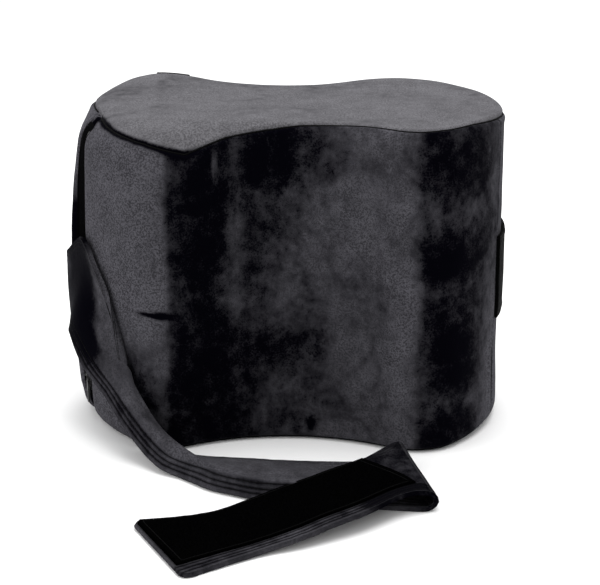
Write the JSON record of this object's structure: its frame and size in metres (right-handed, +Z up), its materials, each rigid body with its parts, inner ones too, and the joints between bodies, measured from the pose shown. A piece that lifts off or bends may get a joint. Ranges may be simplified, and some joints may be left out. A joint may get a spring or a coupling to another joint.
{
  "type": "leg spacer cushion",
  "caption": "Hourglass foam leg spacer cushion in a zipped velour cover, with a velour strap that wraps round and fastens to a hook patch.",
  "frame": {"origin": "centre of the hourglass bottom face that the cushion stands on", "axes": "+Z up, +X towards the rounded end with the hook patch, -Y towards the side the strap lies on"},
  "size_m": [0.2618, 0.3247, 0.19],
  "materials": {
    "foam": "matte",
    "liner": "matte",
    "cover_velour": "satin",
    "binding": "matte",
    "zip_tape": "matte",
    "zip_teeth": "satin",
    "zip_metal": "satin",
    "hook_tape": "matte",
    "loop_tape": "matte",
    "label": "matte",
    "strap_velour": "satin",
    "thread": "matte"
  },
  "bodies": {
    "cushion": {"foam_core": "foam", "inner_liner": "liner", "top_panel": "cover_velour", "bottom_panel": "cover_velour", "front_panel": "cover_velour", "rear_panel": "cover_velour", "top_seam_binding": "binding", "bottom_seam_binding": "binding", "end_seam_binding": "binding", "zipper_tape_front": "zip_tape", "zipper_tape_rear": "zip_tape", "zipper_teeth_front": "zip_teeth", "zipper_teeth_rear": "zip_teeth", "zipper_top_stop": "zip_metal", "zipper_bottom_stop": "zip_metal", "hook_patch": "hook_tape", "hook_patch_stitching": "thread", "care_label": "label", "strap_anchor": "strap_velour", "strap_anchor_stitching": "thread"},
    "zip_slider": {"zipper_slider": "zip_metal"},
    "zip_pull": {"zipper_pull": "zip_metal"},
    "strap": {"strap_band": "strap_velour", "strap_stitching": "thread"},
    "strap_end": {"strap_end_band": "strap_velour", "strap_end_tape": "loop_tape", "strap_end_stitching": "thread"}
  },
  "joints": [
    {"name": "strap_swing", "type": "hinge", "parent": "cushion", "child": "strap", "pos_m": [-0.1274, -0.009, 0.0875], "axis": [0, 0, -1], "range_deg": [0, 130]},
    {"name": "strap_unfold", "type": "hinge", "parent": "strap", "child": "strap_end", "pos_m": [0.073, -0.1265, 0.006], "axis": [-0.2462, 0.9692, 0], "range_deg": [0, 180]},
    {"name": "zip_slide", "type": "slide", "parent": "cushion", "child": "zip_slider", "axis": [0, 0, 1], "range_m": [0, 0.144]},
    {"name": "pull_flip", "type": "hinge", "parent": "zip_slider", "child": "zip_pull", "pos_m": [-0.12434, -0.02527, 0.027], "axis": [-0.2538, 0.9673, 0], "range_deg": [0, 150]}
  ]
}
